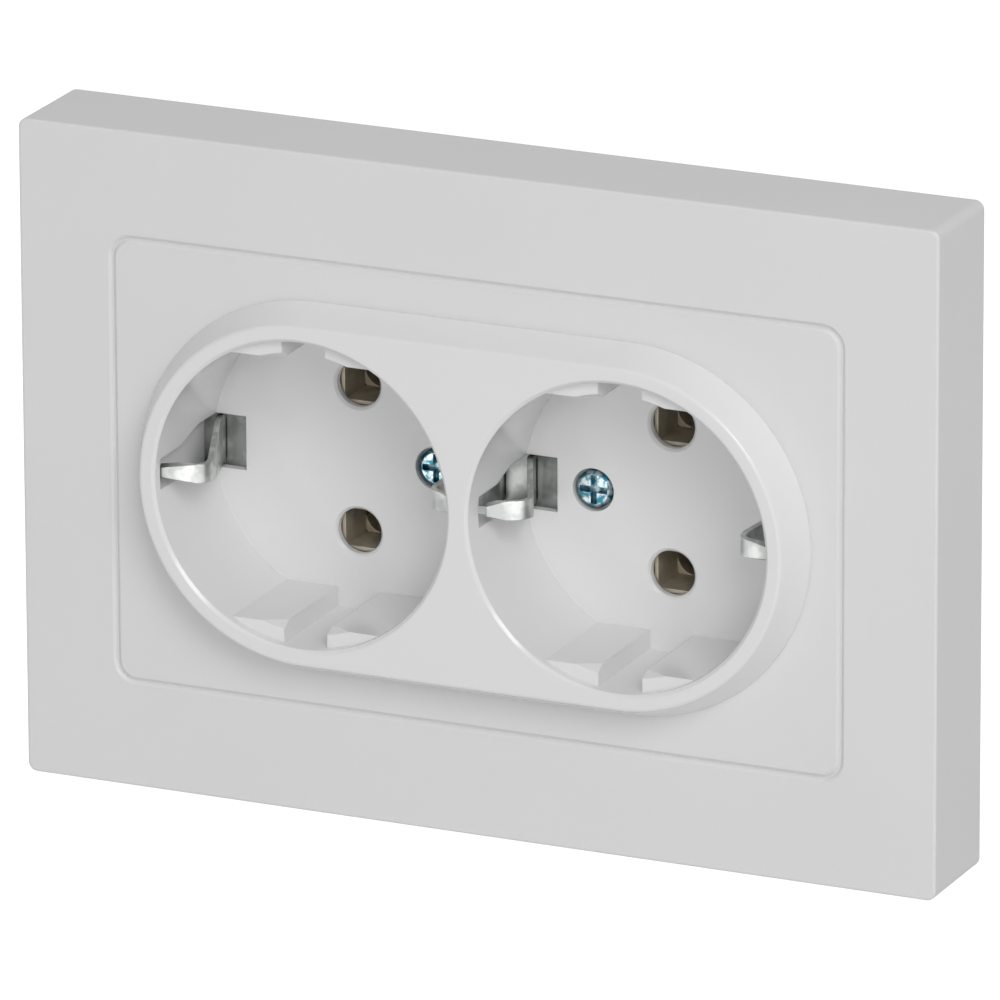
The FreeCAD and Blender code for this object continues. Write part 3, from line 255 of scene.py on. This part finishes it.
# %% Assign the finishes
earth_clips = [name for name in nodes if name.startswith("earth_clip")]
claw_fasteners = [name for name in nodes if name.startswith(("claw_nut", "claw_screw"))]
finishes = {
    satin_white: ["frame"],
    gloss_white: ["socket_cover"],
    base_grey: ["base", "rear_cover"],
    button_white: ["live_release", "neutral_release", "earth_release"],
    bright_nickel: ["earth_bar", "live_clamp", "neutral_clamp", "earth_clamp"] + earth_clips,
    blue_zinc: ["cover_screw_left", "cover_screw_right", "cover_nuts", "rear_screws"] + claw_fasteners,
    rolled_steel: ["mounting_bridge", "bridge_rivets", "earth_rivets", "claw_left", "claw_right"],
    dull_brass: ["live_bar", "neutral_bar"],
}
dressed = set()
for material, names in finishes.items():
    for name in names:
        mesh = nodes[name].data
        mesh.materials.clear()
        mesh.materials.append(material)
        dressed.add(name)
print(len(dressed), "dressed; left out:", sorted(set(nodes) - dressed))

# %% [markdown]
# ## What the camera sees behind the socket
#
# The socket was photographed on pure white. More lamps would turn the socket white
# as well. Instead the floor and the world are brighter only for rays that come from
# the camera, or that leave a shiny or clear surface. The Light Path node tells us
# which kind of ray arrives.

# %% Ray helper
def seen_directly(tree):
    rays = node(tree, "LightPath").outputs
    camera_or_gloss = node(tree, "Math", {0: rays["Is Camera Ray"], 1: rays["Is Glossy Ray"]},
                           operation="MAXIMUM")
    return node(tree, "Math", {0: camera_or_gloss.outputs[0], 1: rays["Is Transmission Ray"]},
                operation="MAXIMUM").outputs[0]


print("seen_directly ready")

# %% [markdown]
# ## Floor
#
# A plain pale floor lies well below the socket. It adds a little light of its own
# for the rays above, so that it reads as white and still keeps the soft shadow.

# %% Floor
import bmesh

floor_level = -0.30
floor_reach = 6
floor_glow = 0.75
floor_white, tree, shader = start_material("white_floor")
shader.inputs["Base Color"].default_value = (0.8, 0.8, 0.8, 1)
shader.inputs["Roughness"].default_value = 0.9
shader.inputs["Emission Color"].default_value = (1, 1, 1, 1)
glow = node(tree, "Math", {0: seen_directly(tree)}, operation="MULTIPLY")
glow.inputs[1].default_value = floor_glow
tree.links.new(glow.outputs[0], shader.inputs["Emission Strength"])

floor_mesh = bpy.data.meshes.new("floor")
plate = bmesh.new()
bmesh.ops.create_grid(plate, x_segments=2, y_segments=2, size=floor_reach)
plate.to_mesh(floor_mesh)
plate.free()
floor_mesh.materials.append(floor_white)
floor = bpy.data.objects.new("floor", floor_mesh)
floor.location.z = floor_level
scene.collection.objects.link(floor)
print("floor lies at", floor_level, "m and reaches", floor_reach, "m each way")

# %% [markdown]
# ## World
#
# The world does the same behind the floor: white where it is seen, and a soft, much
# weaker light from all sides where it only lights the plastic.

# %% World
ambient = 0.38
world = scene.world or bpy.data.worlds.new("studio")
scene.world = world
world.use_nodes = True
air = world.node_tree
air.nodes.clear()
strength = node(air, "MapRange", {"Value": seen_directly(air)}, To_Min=ambient, To_Max=1.0)
sky = node(air, "Background", {"Strength": strength.outputs["Result"]}, Color=(1, 1, 1, 1))
node(air, "OutputWorld", {"Surface": sky.outputs["Background"]})
print("ambient light", ambient)

# %% [markdown]
# ## Lamps
#
# The front of the frame is the brightest plane, and its top and right side are
# darker by about the same amount. So the main light is a large softbox in front of
# the socket, to the right and above. A weaker one straight ahead reaches the floors
# of the wells. A long strip behind and above touches the top edges. The three are
# low, because a pale plastic turns to plain white very quickly.

# %% Place the lamps
def lamp(name, place, wide, high, power):
    light = bpy.data.lights.new(name, "AREA")
    light.shape = "RECTANGLE"
    light.size = wide
    light.size_y = high
    light.energy = power
    made = bpy.data.objects.new(name, light)
    made.location = place
    made.rotation_mode = "QUATERNION"
    made.rotation_quaternion = (-Vector(place)).to_track_quat("-Z", "Y")
    scene.collection.objects.link(made)
    return made


lamps = [
    lamp("key_softbox", place=(0.70, -0.84, 0.70), wide=0.6, high=0.6, power=6.7),
    lamp("front_fill", place=(0.10, -1.6, 0.10), wide=0.8, high=0.8, power=2.5),
    lamp("top_strip", place=(0.05, 0.48, 1.25), wide=2.0, high=0.12, power=0.3),
]
scene.view_settings.view_transform = "Standard"
print({item.name: round(item.data.energy, 2) for item in lamps}, "watts")
